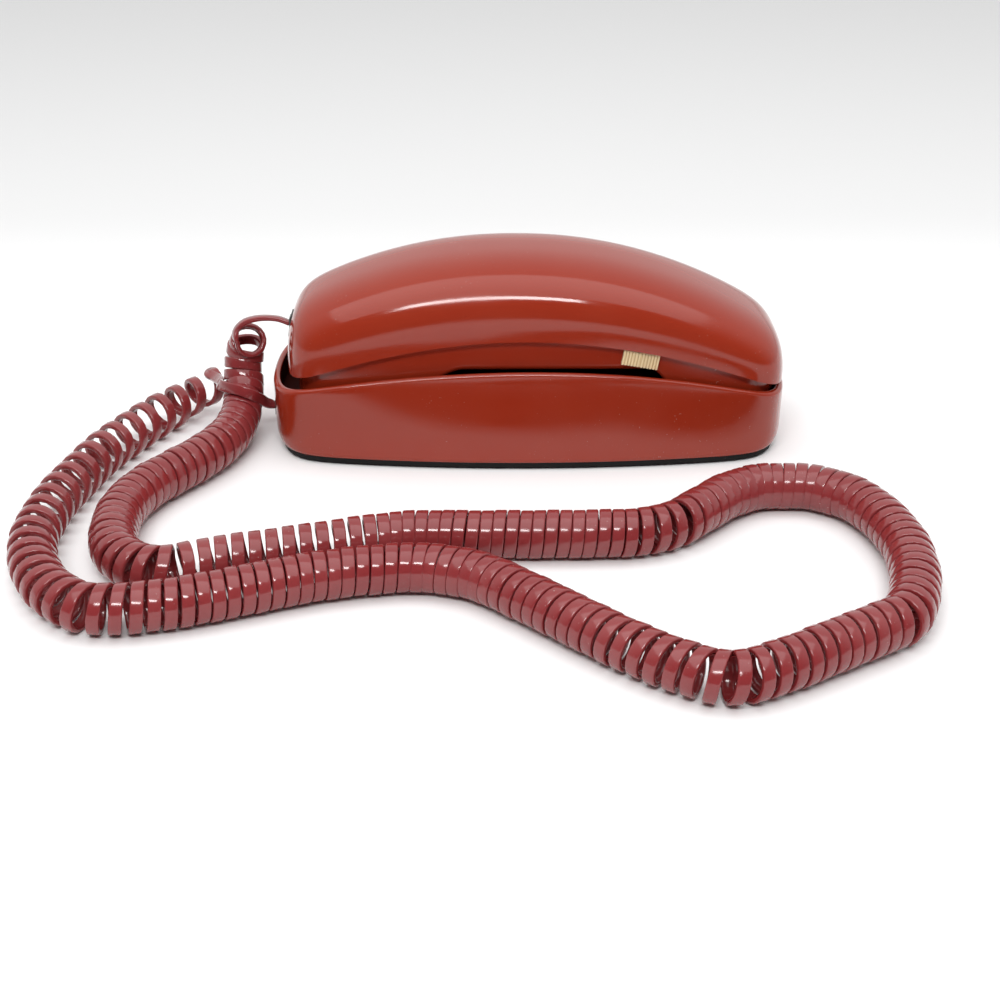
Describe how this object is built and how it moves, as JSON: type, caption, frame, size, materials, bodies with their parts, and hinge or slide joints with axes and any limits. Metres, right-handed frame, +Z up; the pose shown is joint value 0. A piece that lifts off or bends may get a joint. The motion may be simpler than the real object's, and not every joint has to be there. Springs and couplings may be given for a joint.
{
  "type": "slimline wall phone",
  "caption": "Slim one-piece-looking telephone: arched handset with keypad and volume slide lying face down in a boat-shaped base, with a long curly cord.",
  "frame": {"origin": "on the table under the middle of the phone, cord and plugs left out", "axes": "+X along the phone to the earpiece end, the cord leaves at -X; +Y across the phone to the side without the volume slide; +Z up"},
  "size_m": [0.3463, 0.2671, 0.0853],
  "materials": {
    "red_plastic": "smooth gloss, faint fine scratches",
    "bezel": "satin",
    "black_plastic": "matte",
    "rubber": "matte",
    "steel": "bright",
    "board": "lacquered",
    "ivory": "satin",
    "transformer": "taped winding on a steel core",
    "film_capacitor": "dipped",
    "capsule": "satin",
    "card": "paper",
    "clear": "clear, polished",
    "wire": "insulated wire",
    "cord": "soft gloss vinyl"
  },
  "bodies": {
    "base": {"base_housing": "red_plastic", "base_plate": "black_plastic", "base_feet": "rubber", "base_screws": "steel", "base_board": "board", "base_board_screws": "steel", "line_jack": "black_plastic", "base_cord_jack": "black_plastic", "hook_switch": "ivory", "hook_spring": "steel", "line_transformer": "transformer", "line_capacitor": "film_capacitor", "ringer_chip": "black_plastic", "ringer_sounder": "black_plastic", "ringer_switch": "steel", "number_card": "card", "card_window": "clear", "base_leads": "wire", "handset_cord": "cord", "base_cord_plug": "clear"},
    "handset": {"handset_back": "red_plastic", "handset_face": "red_plastic", "keypad_plate": "bezel", "key_membrane": "rubber", "dial_board": "board", "dial_board_screws": "steel", "dial_chip": "black_plastic", "dial_parts": "steel", "receiver": "capsule", "receiver_gasket": "rubber", "microphone": "steel", "microphone_boot": "rubber", "volume_switch": "steel", "handset_cord_jack": "black_plastic", "handset_screws": "steel", "handset_leads": "wire", "handset_cord_plug": "clear"},
    "hook_plunger": {"hook_plunger": "ivory"},
    "ringer_knob": {"ringer_knob": "ivory"},
    "volume_knob": {"volume_knob": "ivory"},
    "recall_key": {"recall_key": "ivory"},
    "key_1": {"key_1": "ivory"},
    "key_2": {"key_2": "ivory"},
    "key_3": {"key_3": "ivory"},
    "key_4": {"key_4": "ivory"},
    "key_5": {"key_5": "ivory"},
    "key_6": {"key_6": "ivory"},
    "key_7": {"key_7": "ivory"},
    "key_8": {"key_8": "ivory"},
    "key_9": {"key_9": "ivory"},
    "key_star": {"key_star": "ivory"},
    "key_0": {"key_0": "ivory"},
    "key_pound": {"key_pound": "ivory"}
  },
  "joints": [
    {"name": "handset_lift", "type": "slide", "parent": "base", "child": "handset", "axis": [0, 0, 1], "range_m": [0, 0.08]},
    {"name": "hook_travel", "type": "slide", "parent": "base", "child": "hook_plunger", "axis": [0, 0, 1], "range_m": [0, 0.0035], "deforming": ["hook_spring"]},
    {"name": "ringer_slide", "type": "slide", "parent": "base", "child": "ringer_knob", "axis": [0.9987, -0.0513, 0], "range_m": [-0.002, 0.002]},
    {"name": "volume_slide", "type": "slide", "parent": "handset", "child": "volume_knob", "axis": [0.9829, 0.0256, -0.1822], "range_m": [-0.0025, 0.0025]},
    {"name": "press_1", "type": "slide", "parent": "handset", "child": "key_1", "axis": [0, 0, 1], "range_m": [0, 0.0015], "stiffness_N_per_m": 120, "springref_m": -0.001},
    {"name": "press_2", "type": "slide", "parent": "handset", "child": "key_2", "axis": [0, 0, 1], "range_m": [0, 0.0015], "stiffness_N_per_m": 120, "springref_m": -0.001},
    {"name": "press_3", "type": "slide", "parent": "handset", "child": "key_3", "axis": [0, 0, 1], "range_m": [0, 0.0015], "stiffness_N_per_m": 120, "springref_m": -0.001},
    {"name": "press_4", "type": "slide", "parent": "handset", "child": "key_4", "axis": [0, 0, 1], "range_m": [0, 0.0015], "stiffness_N_per_m": 120, "springref_m": -0.001},
    {"name": "press_5", "type": "slide", "parent": "handset", "child": "key_5", "axis": [0, 0, 1], "range_m": [0, 0.0015], "stiffness_N_per_m": 120, "springref_m": -0.001},
    {"name": "press_6", "type": "slide", "parent": "handset", "child": "key_6", "axis": [0, 0, 1], "range_m": [0, 0.0015], "stiffness_N_per_m": 120, "springref_m": -0.001},
    {"name": "press_7", "type": "slide", "parent": "handset", "child": "key_7", "axis": [0, 0, 1], "range_m": [0, 0.0015], "stiffness_N_per_m": 120, "springref_m": -0.001},
    {"name": "press_8", "type": "slide", "parent": "handset", "child": "key_8", "axis": [0, 0, 1], "range_m": [0, 0.0015], "stiffness_N_per_m": 120, "springref_m": -0.001},
    {"name": "press_9", "type": "slide", "parent": "handset", "child": "key_9", "axis": [0, 0, 1], "range_m": [0, 0.0015], "stiffness_N_per_m": 120, "springref_m": -0.001},
    {"name": "press_star", "type": "slide", "parent": "handset", "child": "key_star", "axis": [0, 0, 1], "range_m": [0, 0.0015], "stiffness_N_per_m": 120, "springref_m": -0.001},
    {"name": "press_0", "type": "slide", "parent": "handset", "child": "key_0", "axis": [0, 0, 1], "range_m": [0, 0.0015], "stiffness_N_per_m": 120, "springref_m": -0.001},
    {"name": "press_pound", "type": "slide", "parent": "handset", "child": "key_pound", "axis": [0, 0, 1], "range_m": [0, 0.0015], "stiffness_N_per_m": 120, "springref_m": -0.001},
    {"name": "press_recall", "type": "slide", "parent": "handset", "child": "recall_key", "axis": [0, 0, 1], "range_m": [0, 0.0015], "stiffness_N_per_m": 120, "springref_m": -0.001}
  ],
  "couplings": [
    {"joint": "hook_travel", "follows": "handset_lift", "ratio": 0.04375}
  ]
}
